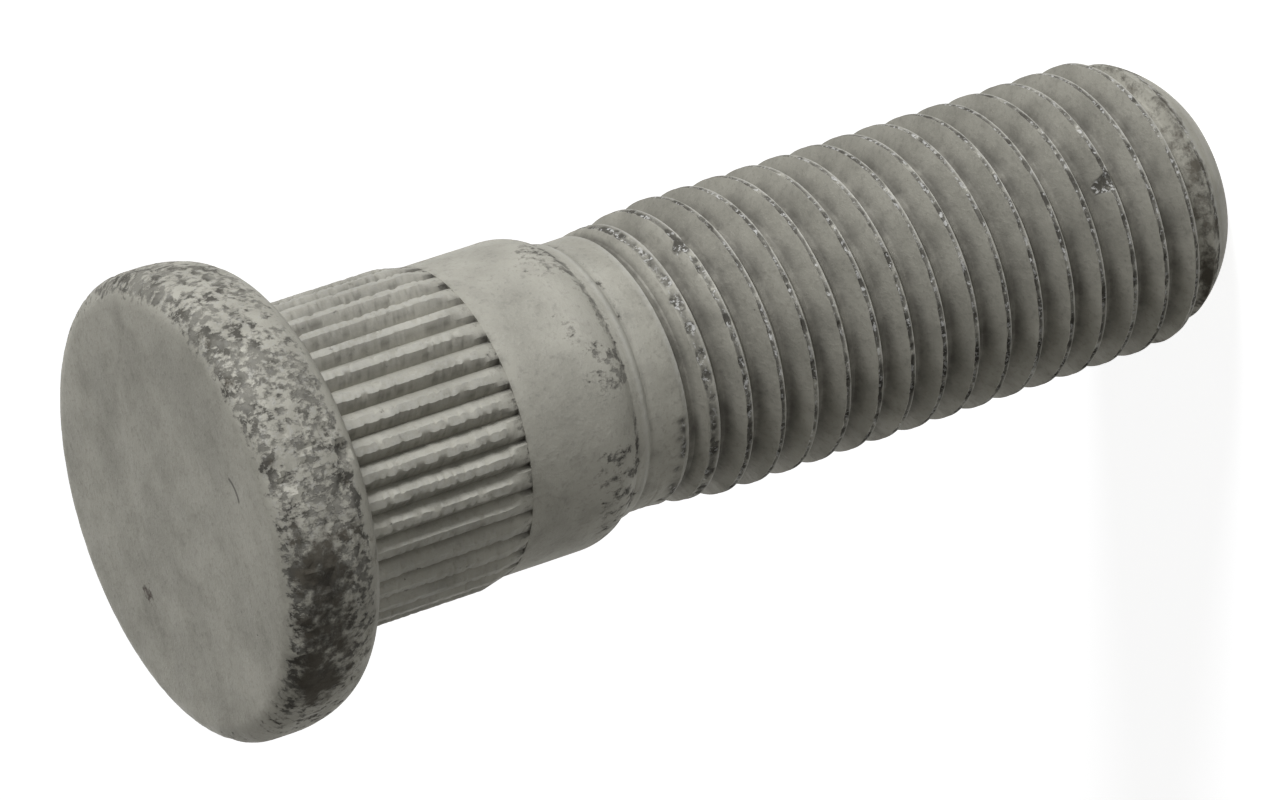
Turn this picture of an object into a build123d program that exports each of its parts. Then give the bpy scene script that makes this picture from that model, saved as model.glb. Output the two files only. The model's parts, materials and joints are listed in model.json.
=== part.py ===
"""Press-in wheel stud with an M12 x 1.5 right-hand thread, one forged and thread-rolled piece.

It stands on its threaded end with the head up. Lengths are in millimetres, +Z points up, and the
stud's axis is the Z axis with the tip's flat at z = 0.
"""
import os
from math import atan, ceil, cos, degrees, pi, radians, sin, tan

from build123d import *

# Driving dimensions
LENGTH = 46.1                # tip flat to the head's outer face
THREAD_D = 11.85             # over the rolled crests
PITCH = 1.5
FLANK_ANGLE = 30.0           # half of the thread angle, degrees
TIP_ROUND_LENGTH = 3.0       # axial length of the rounded thread end
TIP_ROUND_DEPTH = 1.85       # how far that rounding goes in from the crests
RUN_OUT_SIDE = 144.0         # direction about the axis in which the thread groove starts to fade, degrees
RUN_OUT_TURNS = 1.2          # turns over which the thread groove fades into the neck
CREST_RISE = 3.45            # length over which the rolled crests grow from the neck to their full height
NECK_LENGTH = 1.2
NECK_BAND = 0.7              # narrow cone between the neck and the shoulder
SHOULDER_LENGTH = 1.5        # rounded end of the plain shank
SHANK_LENGTH = 3.6
SHANK_STEP = 0.35            # plain shank above the thread crests, on the radius
SERRATION_STEP = 0.25        # serration crests above the plain shank, on the radius
SERRATION_COUNT = 38
SERRATION_LENGTH = 8.0       # seat under the head to the plain shank
SERRATION_LEAD = 1.1         # tapered start of the serration crests
GROOVE_ANGLE = 85.0          # included angle of a serration groove, degrees
LAND_SHARE = 0.30            # share of the serration pitch left as crest
HEAD_HEIGHT = 4.3
HEAD_OVERHANG = 2.8          # head rim outside the serration crests, on the radius
FACE_ROUND = 1.1             # edge of the head's outer face

# Radii
crest_r = THREAD_D / 2
root_r = crest_r - 0.57 * PITCH
neck_r = crest_r - 0.30 * PITCH          # the blank's radius before the thread is rolled
tip_r = crest_r - TIP_ROUND_DEPTH
shank_r = crest_r + SHANK_STEP
band_r = neck_r + 0.32 * (shank_r - neck_r)
serration_r = shank_r + SERRATION_STEP
head_r = serration_r + HEAD_OVERHANG
seat_outer_r = head_r - 0.45 * HEAD_OVERHANG
fillet_r = 0.16 * HEAD_OVERHANG

# Heights
seat_z = LENGTH - HEAD_HEIGHT
rim_top_z = LENGTH - FACE_ROUND
rim_bottom_z = seat_z + 0.75 * (rim_top_z - seat_z)
shank_top_z = seat_z - SERRATION_LENGTH
shoulder_top_z = shank_top_z - SHANK_LENGTH
shoulder_bottom_z = shoulder_top_z - SHOULDER_LENGTH
neck_top_z = shoulder_bottom_z - NECK_BAND
neck_bottom_z = neck_top_z - NECK_LENGTH
full_crest_z = neck_bottom_z - CREST_RISE
groove_end_z = neck_bottom_z + NECK_LENGTH / 2
full_thread_z = groove_end_z - RUN_OUT_TURNS * PITCH
thread_turns = ceil(full_thread_z / PITCH) + 1
groove_start_z = full_thread_z - thread_turns * PITCH
stock_z = groove_start_z - PITCH         # the blank starts longer and its tip is rounded last


def quarter_round(start, end, centre):
    """Circular quarter between two points about a centre, as an arc through its middle."""
    half = sin(radians(45))
    middle = tuple(c + half * (s - c + e - c) for s, e, c in zip(start, end, centre))
    return ThreePointArc(start, middle, end)


def stud_blank():
    """Every outline that is round about the axis, with spare stock below the tip."""
    drop = shank_r - band_r
    shoulder_radius = (SHOULDER_LENGTH**2 + drop**2) / (2 * drop)
    half_sweep = atan(SHOULDER_LENGTH / (shoulder_radius - drop)) / 2
    shoulder_middle = (
        shank_r - shoulder_radius * (1 - cos(half_sweep)),
        shoulder_top_z - shoulder_radius * sin(half_sweep),
    )
    with BuildPart() as blank:
        with BuildSketch(Plane.XZ):
            with BuildLine():
                Polyline(
                    (0, LENGTH),
                    (0, stock_z),
                    (crest_r, stock_z),
                    (crest_r, full_crest_z),
                    (neck_r, neck_bottom_z),
                    (neck_r, neck_top_z),
                    (band_r, shoulder_bottom_z),
                )
                ThreePointArc((band_r, shoulder_bottom_z), shoulder_middle, (shank_r, shoulder_top_z))
                Polyline(
                    (shank_r, shoulder_top_z),
                    (shank_r, shank_top_z),
                    (serration_r, shank_top_z + SERRATION_LEAD),
                    (serration_r, seat_z - fillet_r),
                )
                quarter_round(
                    (serration_r, seat_z - fillet_r),
                    (serration_r + fillet_r, seat_z),
                    (serration_r + fillet_r, seat_z - fillet_r),
                )
                Line((serration_r + fillet_r, seat_z), (seat_outer_r, seat_z))
                EllipticalCenterArc(
                    (seat_outer_r, rim_bottom_z),
                    head_r - seat_outer_r,
                    rim_bottom_z - seat_z,
                    start_angle=270,
                    arc_size=90,
                )
                Line((head_r, rim_bottom_z), (head_r, rim_top_z))
                quarter_round(
                    (head_r, rim_top_z),
                    (head_r - FACE_ROUND, LENGTH),
                    (head_r - FACE_ROUND, rim_top_z),
                )
                Line((head_r - FACE_ROUND, LENGTH), (0, LENGTH))
            make_face()
        revolve(axis=Axis.Z)
    return blank.part


def serration_grooves():
    """V grooves around the shank, from the fillet under the head down to the plain shank."""
    groove_half = 0.5 * (1 - LAND_SHARE) * 2 * pi * serration_r / SERRATION_COUNT
    slope = tan(radians(GROOVE_ANGLE / 2))
    floor_r = serration_r - groove_half / slope
    outer_r = serration_r + SERRATION_STEP
    outer_half = (outer_r - floor_r) * slope
    corners = [(floor_r, 0), (outer_r, -outer_half), (outer_r, outer_half)]
    section = Plane.XY.offset(shank_top_z) * Polygon(*corners, align=None)
    groove = extrude(section, amount=SERRATION_LENGTH - fillet_r)
    return [Rot(0, 0, 360 * i / SERRATION_COUNT) * groove for i in range(SERRATION_COUNT)]


def swept_groove(bottom_z, height, radius, cone_angle=0.0):
    """One stretch of the thread groove, in step with the place where it starts to fade."""
    flank = tan(radians(FLANK_ANGLE))
    root_half = PITCH / 4 - (neck_r - root_r) * flank
    depth = crest_r - root_r + 0.08 * PITCH
    mouth_half = root_half + depth * flank
    corners = [(0, root_half), (depth, mouth_half), (depth, -mouth_half), (0, -root_half)]
    turn = RUN_OUT_SIDE + 360 * (bottom_z - full_thread_z) / PITCH
    path = Pos(0, 0, bottom_z) * Rot(0, 0, turn) * Helix(PITCH, height, radius, cone_angle=cone_angle)
    start = path @ 0
    plane = Plane(origin=start, x_dir=(start.X, start.Y, 0), z_dir=path % 0)
    return sweep(plane * Polygon(*corners, align=None), path=path, is_frenet=True)


def thread_grooves():
    """The full thread turn by turn, then short stretches that climb out to the neck."""
    grooves = [swept_groove(groove_start_z + i * PITCH, PITCH, root_r) for i in range(thread_turns)]
    stretches = 5
    stretch = (groove_end_z - full_thread_z) / stretches
    climb = (neck_r - root_r) / stretches
    for i in range(stretches):
        bottom_z = full_thread_z + i * stretch
        grooves.append(swept_groove(bottom_z, stretch, root_r + i * climb, degrees(atan(climb / stretch))))
    return grooves


def tip_trim():
    """What is turned away at the thread's end: the spare stock and the ring outside the rounding."""
    middle = (tip_r + 0.6 * TIP_ROUND_DEPTH, 0.4 * TIP_ROUND_LENGTH)
    outside_r = crest_r + PITCH
    below_z = stock_z - PITCH
    with BuildPart() as trim:
        with BuildSketch(Plane.XZ):
            with BuildLine():
                ThreePointArc((crest_r, TIP_ROUND_LENGTH), middle, (tip_r, 0))
                Polyline(
                    (tip_r, 0),
                    (0, 0),
                    (0, below_z),
                    (outside_r, below_z),
                    (outside_r, TIP_ROUND_LENGTH),
                    (crest_r, TIP_ROUND_LENGTH),
                )
            make_face()
        revolve(axis=Axis.Z)
    return trim.part


stud = stud_blank()
for groove in thread_grooves():
    stud -= groove
stud -= tip_trim()
stud -= serration_grooves()

os.makedirs("parts", exist_ok=True)
export_step(stud, "parts/wheel_stud.step")
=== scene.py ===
"""Press-in wheel stud in grey phosphated steel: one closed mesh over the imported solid.

Lengths in the shape's tables are millimetres. The stud stands on its threaded end, head up.
"""
import json
from math import cos, pi, radians, sin, sqrt, tan

import bpy
import numpy as np
from mathutils import Matrix, Vector, noise


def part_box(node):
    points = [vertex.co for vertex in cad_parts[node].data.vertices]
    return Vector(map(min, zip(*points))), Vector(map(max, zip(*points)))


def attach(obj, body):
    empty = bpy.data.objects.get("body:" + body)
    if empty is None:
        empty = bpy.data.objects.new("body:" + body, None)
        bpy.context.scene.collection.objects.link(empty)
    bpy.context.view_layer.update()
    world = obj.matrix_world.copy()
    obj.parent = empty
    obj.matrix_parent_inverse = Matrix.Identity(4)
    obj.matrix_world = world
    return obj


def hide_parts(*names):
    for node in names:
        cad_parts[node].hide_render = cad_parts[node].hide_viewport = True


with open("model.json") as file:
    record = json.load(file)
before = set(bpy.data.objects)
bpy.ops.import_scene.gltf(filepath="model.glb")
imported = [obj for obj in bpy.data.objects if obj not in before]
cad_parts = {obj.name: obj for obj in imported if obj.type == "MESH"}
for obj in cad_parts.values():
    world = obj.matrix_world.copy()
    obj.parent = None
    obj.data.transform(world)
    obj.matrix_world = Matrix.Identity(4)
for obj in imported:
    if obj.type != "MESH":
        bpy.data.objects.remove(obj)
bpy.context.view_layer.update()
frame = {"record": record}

MM = 0.001
NODE = "wheel_stud"
MOUNTS = {mount["name"]: mount for mount in frame["record"]["mounts"]}

# Radii and heights of the stud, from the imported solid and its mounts
low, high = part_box(NODE)
LENGTH = high[2] / MM
HEAD_R = (high[0] - low[0]) / 2 / MM
SERRATION_R = MOUNTS["serration"]["dims"]["r_mm"]
SHANK_R = MOUNTS["plain_shank"]["dims"]["r_mm"]
CREST_R = MOUNTS["thread"]["dims"]["r_mm"]
SEAT_Z = MOUNTS["head_seat"]["pos_m"][2] / MM

PITCH = 1.5
ROOT_R = CREST_R - 0.57 * PITCH
NECK_R = CREST_R - 0.30 * PITCH
BAND_R = NECK_R + 0.32 * (SHANK_R - NECK_R)
TIP_R = CREST_R - 1.85
TIP_ROUND = 3.0
SEAT_OUTER_R = HEAD_R - 0.45 * (HEAD_R - SERRATION_R)
FILLET_R = 0.16 * (HEAD_R - SERRATION_R)
FACE_ROUND = 1.1
RIM_TOP_Z = LENGTH - FACE_ROUND
RIM_BOTTOM_Z = SEAT_Z + 0.75 * (RIM_TOP_Z - SEAT_Z)
SHANK_TOP_Z = SEAT_Z - 8.0
LEAD_TOP_Z = SHANK_TOP_Z + 1.1
SHOULDER_TOP_Z = SHANK_TOP_Z - 3.6
SHOULDER_BOTTOM_Z = SHOULDER_TOP_Z - 1.5
NECK_TOP_Z = SHOULDER_BOTTOM_Z - 0.7
NECK_BOTTOM_Z = NECK_TOP_Z - 1.2
FULL_CREST_Z = NECK_BOTTOM_Z - 3.45      # the crests grow from here down
GROOVE_END_Z = NECK_BOTTOM_Z + 0.6
FULL_THREAD_Z = GROOVE_END_Z - 1.2 * PITCH
THREAD_END_Z = GROOVE_END_Z + 0.05       # the winding rows of the thread end in a level ring
THREAD_START_Z = 0.75                    # below this the rounded end is inside the thread's root
CREST_Z = 0.25                           # height of a thread crest on the +X side
FLANK_SLOPE = tan(radians(30))           # axial run of a thread flank for each mm of its height
SHARP_EDGE = radians(24)                 # edges that turn more than this are shaded sharp

# Columns around the axis: six to a serration, from the middle of a groove to the middle of a land
SERRATIONS = 38
GROOVE_SHARE = 0.70
SHARES = (0.0, 0.175, 0.35, 0.5, 0.65, 0.825)
turn = np.array([(i + share) / SERRATIONS for i in range(SERRATIONS) for share in SHARES])
angle = 2 * pi * turn
across = np.tile(np.abs((np.array(SHARES) + 0.5) % 1.0 - 0.5), SERRATIONS)
COLUMNS = len(angle)
GROOVE_HALF = 0.5 * GROOVE_SHARE * 2 * pi * SERRATION_R / SERRATIONS
GROOVE_SLOPE = tan(radians(42.5))
GROOVE_DEPTH = GROOVE_HALF / GROOVE_SLOPE
groove_r = SERRATION_R - GROOVE_DEPTH * np.clip(1 - across / (GROOVE_SHARE / 2), 0, 1)
PAINTED_FLANK_SHADE = (0.0, 0.80, 0.22, 0.0, 0.0, 0.0)   # painted shade on one flank of each serration groove, by column


def hills(x, y, z, size, octaves=2, seed=0.0):
    """Smooth random heights of about -1 to 1 at points in mm; size is the width of a hill in mm."""
    points = np.stack([x, y, z], axis=-1).reshape(-1, 3) / size + seed
    values = [noise.fractal(Vector(p), 1.0, 2.0, octaves) for p in points]
    return np.array(values).reshape(np.shape(x))


def smooth(low_edge, high_edge, value):
    """0 below the low edge, 1 above the high edge, eased between them."""
    t = np.clip((value - low_edge) / (high_edge - low_edge), 0, 1)
    return t * t * (3 - 2 * t)


def near_angle(degrees_at, half_width):
    """1 at a direction about the axis, fading to 0 at the half width, for every column."""
    away = np.abs((np.degrees(angle) - degrees_at + 180) % 360 - 180)
    return 1 - smooth(0.5 * half_width, half_width, away)


def dents(places, column_angle, height, reach_r):
    """Depth in mm of round dents, each given as direction in degrees, height, half width and depth."""
    total = np.zeros(np.broadcast(column_angle, height).shape)
    for direction, level, half_width, depth in places:
        aside = (np.degrees(column_angle) - direction + 180) % 360 - 180
        away = np.hypot(np.radians(aside) * reach_r, height - level)
        total = np.maximum(total, depth * (1 - smooth(0.4 * half_width, half_width, away)))
    return total


class Skin:
    """Vertices and faces of the stud, with the marks that its material reads."""

    # Another mark paints wear and a highlight along crest edges
    # One mark paints shade, with some dirt, into roots, grooves and creases
    MARKS = ("hollow", "worn", "fleck", "stain", "seam", "grit")

    def __init__(self):
        self.points = []
        self.marks = {name: [] for name in self.MARKS}
        self.faces = []
        self.count = 0

    def add(self, radius, height, column_angle, **marks):
        """Adds points at cylinder coordinates in mm and returns their numbers."""
        radius, height, column_angle = np.broadcast_arrays(radius, height, column_angle)
        xyz = np.stack([radius * np.cos(column_angle), radius * np.sin(column_angle), height], axis=-1)
        self.points.append(xyz.reshape(-1, 3))
        size = radius.size
        for name in self.MARKS:
            self.marks[name].append(np.broadcast_to(marks.get(name, 0.0), radius.shape).reshape(-1))
        numbers = np.arange(self.count, self.count + size).reshape(radius.shape)
        self.count += size
        return numbers

    def band(self, upper, lower):
        """Joins two rings of points, the first one above or inside the second."""
        quads = np.stack([upper, lower, np.roll(lower, -1), np.roll(upper, -1)], axis=1)
        self.faces.extend(quads.tolist())

    def cap(self, centre, ring, upward):
        """Closes a ring with triangles to its centre."""
        for a, b in zip(ring.tolist(), np.roll(ring, -1).tolist()):
            self.faces.append((centre, a, b) if upward else (centre, b, a))

    def mesh(self, name):
        """The Blender mesh, in metres, with one float mark per point."""
        mesh = bpy.data.meshes.new(name)
        mesh.from_pydata((np.concatenate(self.points) * MM).tolist(), [], self.faces)
        for mark, values in self.marks.items():
            layer = mesh.attributes.new(mark, "FLOAT", "POINT")
            layer.data.foreach_set("value", np.concatenate(values).astype(np.float32))
        mesh.update()
        mesh.shade_smooth()
        mesh.set_sharp_from_angle(angle=SHARP_EDGE)
        return mesh


def arc_points(start, end, centre, steps):
    """Points of an elliptical quarter from start to end about a centre, the start left out."""
    points = []
    for i in range(1, steps + 1):
        t = pi / 2 * i / steps
        r = centre[0] + (start[0] - centre[0]) * cos(t) + (end[0] - centre[0]) * sin(t)
        z = centre[1] + (start[1] - centre[1]) * cos(t) + (end[1] - centre[1]) * sin(t)
        points.append((r, z))
    return points


def line_points(start, end, steps):
    """Evenly spaced points from start to end, the start left out."""
    return [tuple(a + (b - a) * i / steps for a, b in zip(start, end)) for i in range(1, steps + 1)]


def rounded_end(height):
    """Radius of the rounded thread end at a height: an arc through its edge, middle and flat."""
    p = np.array([(CREST_R, TIP_ROUND), (TIP_R + 1.11, 1.2), (TIP_R, 0.0)])
    rows = np.stack([2 * p[:, 0], 2 * p[:, 1], np.ones(3)], axis=1)
    centre_r, centre_z, rest = np.linalg.solve(rows, (p**2).sum(axis=1))
    radius = sqrt(rest + centre_r**2 + centre_z**2)
    inside = np.clip(radius**2 - (np.asarray(height) - centre_z) ** 2, 0, None)
    return np.where(np.asarray(height) >= TIP_ROUND, CREST_R, centre_r + np.sqrt(inside))


# Larger chips and dents seen in the photograph: direction in degrees, height, half width and depth in mm
RIM_CHIPS = (
    (271.5, 42.55, 0.55, 0.24),
    (277.5, 43.05, 0.40, 0.15),
    (264.0, 43.00, 0.40, 0.16),
    (268.0, 45.25, 0.40, 0.16),
    (283.0, 44.00, 0.30, 0.10),
    (258.0, 44.10, 0.26, 0.10),
)
CREST_DENTS = (
    (278.3, 6.02, 0.46, 0.17),
    (309.5, 24.07, 0.44, 0.12),
    (296.0, 24.00, 0.24, 0.07),
    (288.0, 25.60, 0.26, 0.06),
    (236.0, 17.70, 0.22, 0.06),
)


def head(skin):
    """The head from the middle of its face down to the fillet; returns the last ring."""
    profile = [(r, LENGTH) for r in np.linspace(0.6, HEAD_R - FACE_ROUND, 6)]
    profile += arc_points(profile[-1], (HEAD_R, RIM_TOP_Z), (HEAD_R - FACE_ROUND, RIM_TOP_Z), 8)
    profile += line_points(profile[-1], (HEAD_R, RIM_BOTTOM_Z), 6)
    profile += arc_points(profile[-1], (SEAT_OUTER_R, SEAT_Z), (SEAT_OUTER_R, RIM_BOTTOM_Z), 15)
    fillet_start = (SERRATION_R + FILLET_R, SEAT_Z)
    profile += line_points(profile[-1], fillet_start, 4)
    profile += arc_points(
        fillet_start, (SERRATION_R, SEAT_Z - FILLET_R), (SERRATION_R + FILLET_R, SEAT_Z - FILLET_R), 4
    )
    centre = skin.add(0.0, LENGTH, 0.0)
    ring = None
    for r, z in profile:
        rim = smooth(HEAD_R - 1.0, HEAD_R - 0.3, r) * smooth(SEAT_Z + 0.2, SEAT_Z + 0.9, z)
        x, y = r * np.cos(angle), r * np.sin(angle)
        level = np.full(COLUMNS, z)
        pits = hills(x, y, level, 0.5, 2, 3.1)
        lumps = hills(x, y, level, 2.2, 1, 7.7)
        patches = hills(x, y, level, 3.0, 2, 17.3)
        rough_side = 0.38 + 0.62 * near_angle(308, 128)
        sink = rim * rough_side * (0.11 * smooth(0.10, 0.50, pits) + 0.03 * np.abs(lumps))
        round_place = np.degrees(np.arctan2(r - HEAD_R + FACE_ROUND, max(z - RIM_TOP_Z, 0.001)))
        edge_line = np.exp(-(((round_place - 52) / 17) ** 2)) if z > RIM_TOP_Z else 0.0
        edge_line = edge_line * near_angle(268, 92) * (0.6 + 0.6 * smooth(-0.25, 0.25, patches))
        back = smooth(RIM_TOP_Z, SEAT_Z + 0.8, z)
        stain = near_angle(233, 36) * smooth(38, 80, round_place) * (1 - 0.80 * back)
        chip = dents(RIM_CHIPS, angle, z, HEAD_R) * smooth(SEAT_Z + 0.1, SEAT_Z + 0.3, z)
        fleck = 0.30 + rim * (0.12 + 0.47 * rough_side + 0.30 * patches) + 2.2 * chip
        new = skin.add(
            r - sink - chip,
            z,
            angle,
            # painted shade, with dirt, under the head at the fillet
            hollow=0.5 * (1 - smooth(SEAT_Z + 0.05, SEAT_Z + 0.5, z)),
            fleck=np.clip(fleck + 0.75 * edge_line, 0, 1),
            stain=np.clip(stain * (0.85 + 0.5 * patches) + 0.42 * edge_line + 1.6 * chip, 0, 1),
            grit=rim * rough_side,
        )
        if ring is None:
            skin.cap(int(centre), new, True)
        else:
            skin.band(ring, new)
        ring = new
    return ring


def serration(skin, ring):
    """The serrated length with its grooves and chipped crests; returns the ring at the plain shank."""
    floor_share = np.clip((SERRATION_R - groove_r) / GROOVE_DEPTH, 0, 1)
    on_edge = np.isclose(across, GROOVE_SHARE / 2)
    towards_land = np.tile(np.sign(0.5 - np.array(SHARES)), SERRATIONS)
    painted_flank_shade = np.tile(PAINTED_FLANK_SHADE, SERRATIONS)
    heights = list(np.linspace(SEAT_Z - FILLET_R, LEAD_TOP_Z, 68)) + list(
        np.linspace(LEAD_TOP_Z, SHANK_TOP_Z, 10)[1:]
    )
    for z in heights:
        lead = np.clip((LEAD_TOP_Z - z) / (LEAD_TOP_Z - SHANK_TOP_Z), 0, 1)
        outer = SERRATION_R - lead * (SERRATION_R - SHANK_R)
        x, y = SERRATION_R * np.cos(angle), SERRATION_R * np.sin(angle)
        ragged = hills(x * 1.2, y * 1.2, np.full(COLUMNS, z), 0.21, 2, 11.3)
        chip = (1 - floor_share) * np.where(on_edge, 0.040, 0.014) * smooth(0.05, 0.5, ragged)
        radius = np.minimum(groove_r, outer) - chip - 0.006
        notch = on_edge * towards_land * (0.060 * smooth(-0.2, 0.5, ragged) - 0.015) / SERRATION_R
        crest = (1 - floor_share) * (1 - lead)
        marks = {
            # painted shade, with dirt, on the groove floors, on one flank of each groove and at the
            # groove ends of the lead
            "hollow": smooth(0.5, 1.0, floor_share) * 0.45
            + painted_flank_shade * (0.45 + 0.55 * smooth(-0.3, 0.4, ragged))
            + floor_share * 0.9 * smooth(0.45, 0.95, lead),
            "worn": 0.26 * crest * (1 - smooth(0.0, 0.45, ragged)),
            "fleck": 0.26 + 0.10 * crest + 0.35 * smooth(0.4, 1.0, lead),
        }
        new = skin.add(radius, z, angle + notch, **marks)
        skin.band(ring, new)
        ring = new
    new = skin.add(SHANK_R, SHANK_TOP_Z, angle, hollow=0.4 * floor_share, fleck=0.3)
    skin.band(ring, new)
    return new


def shank(skin, ring):
    """Plain shank, rounded shoulder, narrow cone and neck; returns the ring where the thread ends."""
    drop = SHANK_R - BAND_R
    length = SHOULDER_TOP_Z - SHOULDER_BOTTOM_Z
    radius = (length**2 + drop**2) / (2 * drop)
    profile = line_points((SHANK_R, SHANK_TOP_Z), (SHANK_R, SHOULDER_TOP_Z), 18)
    for i in range(1, 10):
        z = SHOULDER_TOP_Z - length * i / 9
        profile.append((SHANK_R - radius + sqrt(radius**2 - (SHOULDER_TOP_Z - z) ** 2), z))
    profile += line_points(profile[-1], (NECK_R, NECK_TOP_Z), 9)
    profile += line_points(profile[-1], (NECK_R, THREAD_END_Z), 7)
    for r, z in profile:
        x, y = r * np.cos(angle), r * np.sin(angle)
        level = np.full(COLUMNS, z)
        lumps = hills(x, y, level, 1.5, 2, 21.9)
        patches = smooth(-0.28, 0.12, hills(x, y, level, 2.6, 2, 41.3))
        shoulder_line = np.exp(-(((z - SHOULDER_BOTTOM_Z - 0.10) / 0.15) ** 2))
        ridge = np.exp(-(((z - NECK_TOP_Z - 0.22) / 0.12) ** 2))
        end_patch = smooth(SHOULDER_TOP_Z + 1.3, SHOULDER_TOP_Z - 0.5, z) * smooth(
            SHOULDER_BOTTOM_Z - 0.1, SHOULDER_BOTTOM_Z + 0.3, z
        )
        neck_line = np.exp(-(((z - NECK_TOP_Z + 0.05) / 0.12) ** 2))
        fleck = 0.22 + 0.12 * patches + patches * (0.62 * shoulder_line + 0.40 * end_patch)
        fleck = fleck + 0.34 * neck_line * patches
        new = skin.add(
            r - 0.012 * np.abs(lumps) - 0.05 * shoulder_line + 0.05 * ridge - 0.03 * neck_line,
            z,
            angle,
            fleck=np.clip(fleck, 0, 1),
            worn=0.06 + 0.30 * ridge,
            # painted shade, with dirt, in the lines at the shoulder and the neck
            hollow=0.45 * shoulder_line * (0.4 + 0.6 * patches) + 0.35 * neck_line,
        )
        skin.band(ring, new)
        ring = new
    return ring


def thread(skin, ring):
    """The rolled thread as a winding strip of rows, its run-out and its rounded end."""
    root_half = PITCH / 4 - (NECK_R - ROOT_R) * FLANK_SLOPE
    laps = np.arange(-1, 21)
    middle = CREST_Z + PITCH * (laps[:, None] + turn[None, :])

    def envelopes(height):
        """Crest and root radius at a height, and how far the groove has faded there."""
        rise = np.clip((height - FULL_CREST_Z) / (NECK_BOTTOM_Z - FULL_CREST_Z), 0, 1)
        fade = np.clip((height - FULL_THREAD_Z) / (GROOVE_END_Z - FULL_THREAD_Z), 0, 1)
        return CREST_R - rise * (CREST_R - NECK_R), ROOT_R + fade * (NECK_R - ROOT_R), fade

    crest, root, _ = envelopes(middle)
    half_mouth = root_half + (crest - root) * FLANK_SLOPE
    edge = np.clip(0.5 - half_mouth / PITCH, 0.066, 0.33)
    foot, bed = 0.385, 0.435
    sides = [(-0.5, 0), (-bed, 0), (-foot, 0), (-foot / 2, -0.5), (-0.016, -1), (0, -1), (0, -0.5)]
    sides += [(0, 0), (0, 0.5), (0, 1), (0.016, 1), (foot / 2, 0.5), (foot, 0), (bed, 0)]
    share = np.stack([fixed + part * edge for fixed, part in sides], axis=1)
    crest_edge = np.repeat(edge[:, None, :], len(sides), axis=1).reshape(-1, COLUMNS)
    height = (middle[:, None, :] + PITCH * share).reshape(-1, COLUMNS)
    share = share.reshape(-1, COLUMNS)
    per_turn = len(sides)
    crest, root, fade = envelopes(height)
    from_groove = (0.5 - np.abs(share)) * PITCH
    flank = np.maximum(from_groove - root_half, 0) / FLANK_SLOPE
    rounding = 0.020 * np.clip(1 - np.abs(from_groove - root_half) / 0.08, 0, 1)
    radius = np.minimum(crest, root + flank + rounding)
    spot = np.broadcast_to(angle[None, :], height.shape)
    x, y = 6 * np.cos(spot), 6 * np.sin(spot)
    inside = (height > THREAD_START_Z) & (height < THREAD_END_Z)
    ragged = np.zeros(height.shape)
    ragged[inside] = hills(x[inside], y[inside], height[inside], 0.5, 2, 31.7)
    torn = smooth(-0.05, 0.45, ragged)
    standing = smooth(0.05, 0.30, crest - root) * (1 - smooth(0.75, 1.0, fade))
    on_crest = 1 - smooth(0.75, 1.02, np.abs(share) / crest_edge)
    seam = on_crest * smooth(-0.75, -0.35, share / crest_edge) * standing
    dent = dents(CREST_DENTS, spot, height, CREST_R)
    radius = radius - seam * (0.015 + 0.075 * torn) - dent
    radius = np.minimum(radius, rounded_end(height) - 0.004 * np.abs(ragged))
    depth = np.clip((crest - radius) / np.maximum(crest - root, 0.05), 0, 1) * standing
    # a painted highlight, with wear, as a thin bright line along one edge of each crest
    painted_crest_highlight = np.exp(-(((share + crest_edge) * PITCH / 0.055) ** 2)) * standing
    end_dirt = 1 - smooth(1.6, 3.4, height)
    marks = {
        # painted shade, with dirt, darker towards the thread roots
        "hollow": (0.16 + 0.80 * smooth(0.30, 1.0, depth)) * (1 - end_dirt) * standing,
        "worn": painted_crest_highlight * (0.30 + 0.25 * (1 - torn)),
        "fleck": 0.26 + 0.06 * on_crest,
        "stain": 0.56 * end_dirt * smooth(0.95, 1.4, height),
        "seam": np.clip(seam * (0.35 + 0.65 * torn) / (1 + 2 * (crest_edge - 0.066)) + 6 * dent, 0, 1),
    }
    marks = {name: np.broadcast_to(values, height.shape) for name, values in marks.items()}
    top = np.broadcast_to(ring, height.shape)
    low_ring = skin.add(rounded_end(THREAD_START_Z), THREAD_START_Z, angle, worn=0.25, fleck=0.15)
    bottom = np.broadcast_to(low_ring, height.shape)
    margin = 0.012
    own = (height > THREAD_START_Z + margin) & (height < THREAD_END_Z - margin)
    numbers = np.where(height >= THREAD_END_Z - margin, top, bottom)
    picked = {name: values[own] for name, values in marks.items()}
    numbers[own] = skin.add(radius[own], height[own], spot[own], **picked)
    rows = len(height) - per_turn
    for m in range(rows - 1):
        lower = np.append(numbers[m], numbers[m + per_turn, 0])
        upper = np.append(numbers[m + 1], numbers[m + 1 + per_turn, 0])
        for j in range(COLUMNS):
            corners = [upper[j], lower[j], lower[j + 1], upper[j + 1]]
            face = [int(c) for i, c in enumerate(corners) if c != corners[i - 1]]
            if len(face) >= 3:
                skin.faces.append(face)
    ring = low_ring
    for z in (0.6, 0.46, 0.33, 0.22, 0.12, 0.05, 0.0):
        new = skin.add(rounded_end(z), z, angle, worn=0.3, fleck=0.12)
        skin.band(ring, new)
        ring = new
    for r in (3.6, 2.7, 1.8, 0.9):
        new = skin.add(r, 0.0, angle, fleck=0.2)
        skin.band(ring, new)
        ring = new
    skin.cap(int(skin.add(0.0, 0.0, 0.0)), ring, False)


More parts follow.
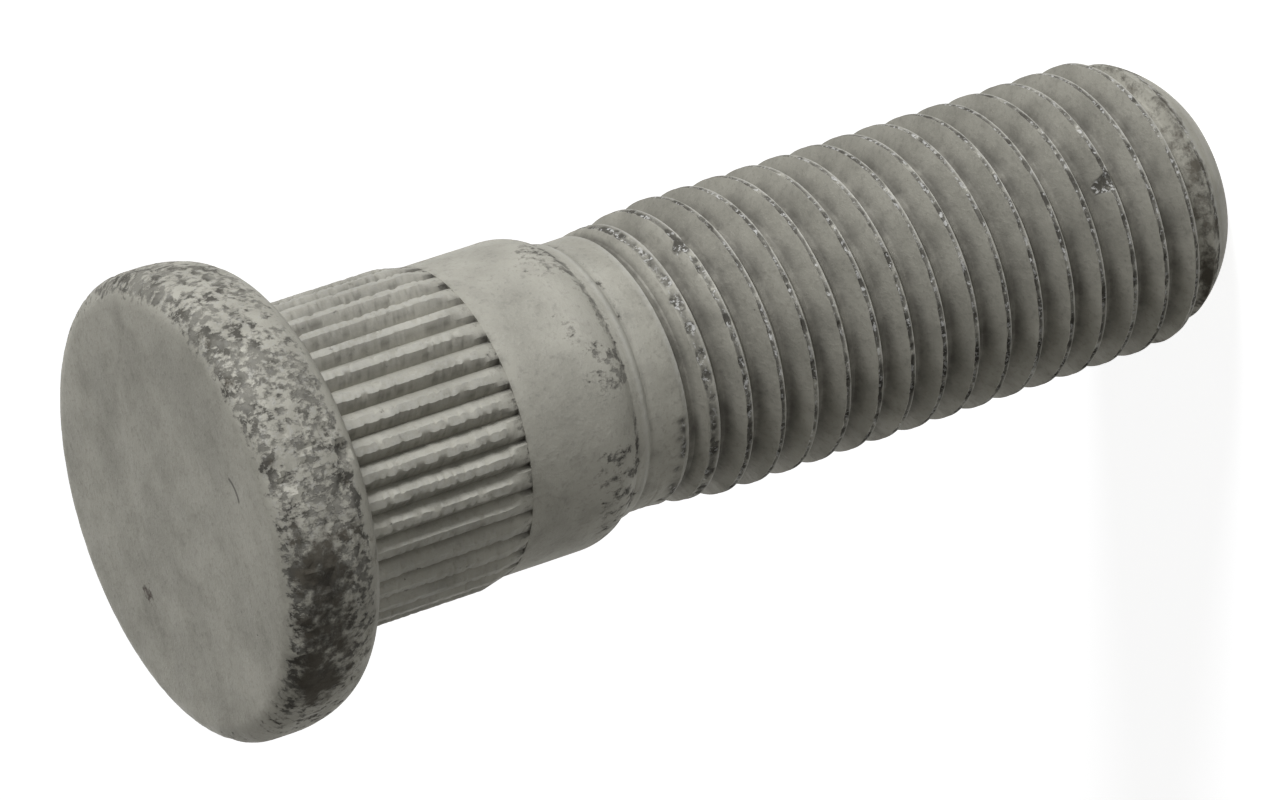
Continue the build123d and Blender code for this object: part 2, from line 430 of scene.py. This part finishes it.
class Nodes:
    """Short ways to add and join shader nodes."""

    def __init__(self, material):
        material.use_nodes = True
        self.tree = material.node_tree
        self.tree.nodes.clear()

    def new(self, kind, **settings):
        node = self.tree.nodes.new(kind)
        for name, value in settings.items():
            setattr(node, name, value)
        return node

    def join(self, source, target):
        self.tree.links.new(source, target)

    def put(self, socket, value):
        """Joins a socket, or sets a plain value."""
        if isinstance(value, bpy.types.NodeSocket):
            self.join(value, socket)
        else:
            socket.default_value = value

    def math(self, operation, a, b=0.0, clamp=False):
        node = self.new("ShaderNodeMath", operation=operation, use_clamp=clamp)
        self.put(node.inputs[0], a)
        self.put(node.inputs[1], b)
        return node.outputs[0]

    def step(self, value, low_edge, high_edge, low_out=0.0, high_out=1.0):
        node = self.new("ShaderNodeMapRange", interpolation_type="SMOOTHSTEP")
        for name, item in (
            ("Value", value),
            ("From Min", low_edge),
            ("From Max", high_edge),
            ("To Min", low_out),
            ("To Max", high_out),
        ):
            self.put(node.inputs[name], item)
        return node.outputs["Result"]

    def noise(self, vector, scale, detail=3.0, roughness=0.55):
        node = self.new("ShaderNodeTexNoise")
        self.put(node.inputs["Vector"], vector)
        self.put(node.inputs["Scale"], scale)
        self.put(node.inputs["Detail"], detail)
        self.put(node.inputs["Roughness"], roughness)
        return node.outputs["Fac"]

    def distance(self, vector, point):
        node = self.new("ShaderNodeVectorMath", operation="DISTANCE")
        self.put(node.inputs[0], vector)
        self.put(node.inputs[1], point)
        return node.outputs["Value"]

    def mix(self, factor, a, b):
        node = self.new("ShaderNodeMix", data_type="RGBA")
        self.put(node.inputs["Factor"], factor)
        self.put(node.inputs[6], a)
        self.put(node.inputs[7], b)
        return node.outputs[2]

    def mark(self, name):
        return self.new("ShaderNodeAttribute", attribute_name=name).outputs["Fac"]


# Marks on the head's face, in metres: a curved scratch on part of a circle, and a reddish pit
SCRATCH_CENTRE = (-0.00009, -0.00530, LENGTH * MM)
SCRATCH_R = 0.001049
SCRATCH_MIDDLE = (0.00012, -0.00630, LENGTH * MM)
PIT_PLACE = (-0.00264, 0.00415, LENGTH * MM)

# Base colours of the phosphate, the dirt and painted shade, and bare steel, which also paints highlights
PALE = (0.400, 0.384, 0.322, 1)
GREY = (0.306, 0.294, 0.244, 1)
DARK = (0.068, 0.063, 0.051, 1)
SOOT = (0.024, 0.021, 0.015, 1)
BROWN = (0.105, 0.092, 0.069, 1)
BARE = (0.560, 0.550, 0.510, 1)
RED_BROWN = (0.070, 0.045, 0.036, 1)


def stud_steel():
    """Grey phosphate over steel: mottled and flecked with wear, with painted shade and dirt in the
    hollows and a painted highlight with wear along the crest edges.
    """
    material = bpy.data.materials.new("stud_steel")
    n = Nodes(material)
    place = n.new("ShaderNodeTexCoord").outputs["Object"]
    hollow, worn, fleck, stain, seam, grit = (n.mark(name) for name in Skin.MARKS)
    broad = n.noise(place, 330.0, 3.0)
    mid = n.noise(place, 900.0, 4.0, 0.6)
    chips = n.noise(place, 2100.0, 5.0, 0.7)
    along = n.new("ShaderNodeVectorMath", operation="MULTIPLY")
    n.join(place, along.inputs[0])
    along.inputs[1].default_value = (1.0, 1.0, 0.75)
    speck = n.noise(along.outputs["Vector"], 3100.0, 4.0, 0.65)
    fine = n.noise(place, 4600.0, 4.0, 0.65)
    grain = n.noise(place, 11000.0, 3.0, 0.7)

    colour = n.mix(n.step(broad, 0.32, 0.68, 0.05, 0.95), GREY, PALE)
    colour = n.mix(n.step(grain, 0.45, 0.80, 0.0, 0.50), colour, PALE)
    colour = n.mix(n.step(fine, 0.48, 0.75, 0.0, 0.26), colour, DARK)
    colour = n.mix(n.step(mid, 0.52, 0.72, 0.0, 0.12), colour, DARK)

    light_chip = n.math("MULTIPLY", grit, n.step(fine, 0.50, 0.66, 0.0, 0.26))
    colour = n.mix(light_chip, colour, BARE)
    # painted shade, with dirt, in the hollows
    colour = n.mix(n.math("MULTIPLY", hollow, n.step(mid, 0.25, 0.70, 0.45, 0.85)), colour, DARK)
    # wear and painted highlights on the crest edges, in the bare steel colour
    colour = n.mix(n.math("MULTIPLY", worn, n.step(fine, 0.36, 0.62, 0.25, 0.9)), colour, BARE)

    edge_of_fleck = n.math("SUBTRACT", 0.80, n.math("MULTIPLY", fleck, 0.34))
    specks = n.step(n.math("SUBTRACT", speck, edge_of_fleck), 0.0, 0.06)
    colour = n.mix(n.math("MULTIPLY", specks, n.step(mid, 0.38, 0.62, 0.25, 0.90)), colour, DARK)
    halo_edge = n.math("SUBTRACT", edge_of_fleck, 0.07)
    halo = n.step(n.math("SUBTRACT", speck, halo_edge), 0.0, 0.06, 0.0, 0.32)
    colour = n.mix(n.math("MULTIPLY", halo, n.step(fleck, 0.25, 0.5)), colour, DARK)

    ring_from = n.distance(place, SCRATCH_CENTRE)
    on_ring = n.math("ABSOLUTE", n.math("SUBTRACT", ring_from, SCRATCH_R))
    on_ring = n.math("ADD", on_ring, n.math("MULTIPLY", fine, 0.00005))
    near = n.step(n.distance(place, SCRATCH_MIDDLE), 0.00045, 0.00060, 1.0, 0.0)
    scratch = n.math("MULTIPLY", n.step(on_ring, 0.00006, 0.00012, 0.85, 0.0), near)
    colour = n.mix(scratch, colour, DARK)
    pit_from = n.math("ADD", n.distance(place, PIT_PLACE), n.math("MULTIPLY", chips, 0.0016))
    pit = n.step(pit_from, 0.00090, 0.00125, 0.85, 0.0)
    colour = n.mix(pit, colour, RED_BROWN)

    torn = n.math("ADD", n.math("MULTIPLY", chips, 0.55), n.math("MULTIPLY", mid, 0.45))
    torn_dark = n.math("MULTIPLY", n.step(seam, 0.08, 0.45), n.step(torn, 0.38, 0.50))
    torn_light = n.math("MULTIPLY", n.step(seam, 0.12, 0.45), n.step(fine, 0.53, 0.60))
    colour = n.mix(n.math("MULTIPLY", torn_dark, n.step(mid, 0.35, 0.60, 0.60, 0.95)), colour, DARK)
    colour = n.mix(n.math("MULTIPLY", torn_light, 0.85), colour, BARE)

    ragged = n.math("ADD", n.math("MULTIPLY", chips, 0.8), n.math("MULTIPLY", mid, 0.8))
    reach = n.math("ADD", n.math("MULTIPLY", stain, 0.52), ragged)
    patch = n.math("MULTIPLY", n.step(reach, 0.96, 1.24), n.step(stain, 0.04, 0.25))
    filth = n.mix(n.step(mid, 0.36, 0.60), SOOT, BROWN)
    colour = n.mix(n.math("MULTIPLY", patch, 0.90), colour, filth)

    dirt = n.math("MAXIMUM", n.math("MAXIMUM", patch, pit), n.math("MAXIMUM", specks, torn_dark))
    height = n.math("ADD", n.math("MULTIPLY", fine, 0.5), n.math("MULTIPLY", chips, 0.7))
    height = n.math("SUBTRACT", height, n.math("MULTIPLY", dirt, 0.6))
    bump = n.new("ShaderNodeBump")
    bump.inputs["Strength"].default_value = 0.55
    bump.inputs["Distance"].default_value = 0.00007
    n.join(height, bump.inputs["Height"])
    shader = n.new("ShaderNodeBsdfPrincipled")
    shader.inputs["Specular IOR Level"].default_value = 0.35
    n.join(colour, shader.inputs["Base Color"])
    n.join(n.step(dirt, 0.0, 1.0, 0.24, 0.0), shader.inputs["Metallic"])
    rough = n.math("ADD", n.step(mid, 0.2, 0.8, 0.60, 0.74), n.math("MULTIPLY", dirt, 0.25), clamp=True)
    n.join(rough, shader.inputs["Roughness"])
    n.join(bump.outputs["Normal"], shader.inputs["Normal"])
    output = n.new("ShaderNodeOutputMaterial")
    n.join(shader.outputs["BSDF"], output.inputs["Surface"])
    return material


def white_seen(nodes):
    """1 for the rays that see the studio: from the camera, in gloss and through glass."""
    path = nodes.new("ShaderNodeLightPath")
    seen = nodes.math("MAXIMUM", path.outputs["Is Camera Ray"], path.outputs["Is Glossy Ray"])
    return nodes.math("MAXIMUM", seen, path.outputs["Is Transmission Ray"])


LIT_POINT = (0, 0, 0.025)                # the lamps point here, near the middle of the stud
WHITE = (1, 1, 1)
COOL_WHITE = (0.98, 1.0, 1.06)


def studio():
    """Pale floor, white surroundings and soft lamps."""
    bpy.ops.mesh.primitive_plane_add(size=6.0)
    floor = bpy.context.active_object
    floor.name = "floor"
    material = bpy.data.materials.new("floor_white")
    n = Nodes(material)
    diffuse = n.new("ShaderNodeBsdfDiffuse")
    diffuse.inputs["Color"].default_value = (0.55, 0.55, 0.54, 1)
    glow = n.new("ShaderNodeEmission")
    n.join(n.math("MULTIPLY", white_seen(n), 0.88), glow.inputs["Strength"])
    both = n.new("ShaderNodeAddShader")
    n.join(diffuse.outputs[0], both.inputs[0])
    n.join(glow.outputs[0], both.inputs[1])
    n.join(both.outputs[0], n.new("ShaderNodeOutputMaterial").inputs["Surface"])
    floor.data.materials.append(material)

    world = bpy.data.worlds.new("studio")
    bpy.context.scene.world = world
    n = Nodes(world)
    background = n.new("ShaderNodeBackground")
    n.join(n.step(white_seen(n), 0.0, 1.0, 0.07, 1.0), background.inputs["Strength"])
    background.inputs["Color"].default_value = (1, 1, 1, 1)
    n.join(background.outputs[0], n.new("ShaderNodeOutputWorld").inputs["Surface"])

    def lamp(name, place, size, power, tint):
        data = bpy.data.lights.new(name, "AREA")
        data.shape = "DISK"
        data.size = size
        data.energy = power
        data.color = tint
        item = bpy.data.objects.new(name, data)
        bpy.context.scene.collection.objects.link(item)
        item.location = place
        aim = Vector(LIT_POINT) - item.location
        item.rotation_euler = aim.to_track_quat("-Z", "Y").to_euler()

    lamp("key", (0.42, -0.30, 0.205), 0.19, 3.0, COOL_WHITE)
    lamp("fill", (0.05, -0.50, 0.30), 0.40, 0.10, WHITE)
    lamp("back", (-0.05, 0.52, 0.07), 0.24, 0.5, WHITE)


# The photograph's view, fitted to the stud's outline and thread crests
VIEW_TO_AXIS = radians(63.06)            # between the line of sight and the stud's axis
AXIS_RISE = radians(18.39)               # how steeply the stud climbs to the right in the frame
HEAD_OFFSET = (-17.81, 4.37, 372.34)     # head's face from the camera, mm right, down and ahead
LENS = 276.2
SENSOR_WIDTH = 36.0


def camera():
    """The camera at the photograph's viewing angle."""
    axis = Vector(
        (
            sin(VIEW_TO_AXIS) * cos(AXIS_RISE),
            -sin(VIEW_TO_AXIS) * sin(AXIS_RISE),
            cos(VIEW_TO_AXIS),
        )
    )
    towards = (axis * cos(VIEW_TO_AXIS) - Vector((0, 0, 1))) / sin(VIEW_TO_AXIS)
    side = axis.cross(towards)
    to_world = Matrix((-side, -towards, -axis))
    place = Vector((0, 0, LENGTH)) - to_world @ Vector(HEAD_OFFSET)
    turned = to_world @ Matrix.Diagonal((1, -1, -1))
    data = bpy.data.cameras.new("photo_view")
    data.lens = LENS
    data.sensor_width = SENSOR_WIDTH
    data.clip_start = 0.01
    item = bpy.data.objects.new("photo_view", data)
    bpy.context.scene.collection.objects.link(item)
    item.matrix_world = Matrix.Translation(place * MM) @ turned.to_4x4()
    bpy.context.scene.camera = item


skin = Skin()
last_ring = head(skin)
last_ring = serration(skin, last_ring)
last_ring = shank(skin, last_ring)
thread(skin, last_ring)
stud = bpy.data.objects.new("stud", skin.mesh("stud"))
bpy.context.scene.collection.objects.link(stud)
stud.data.materials.append(stud_steel())
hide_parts(NODE)
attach(stud, "root")

studio()
camera()
bpy.context.scene.view_settings.view_transform = "Standard"
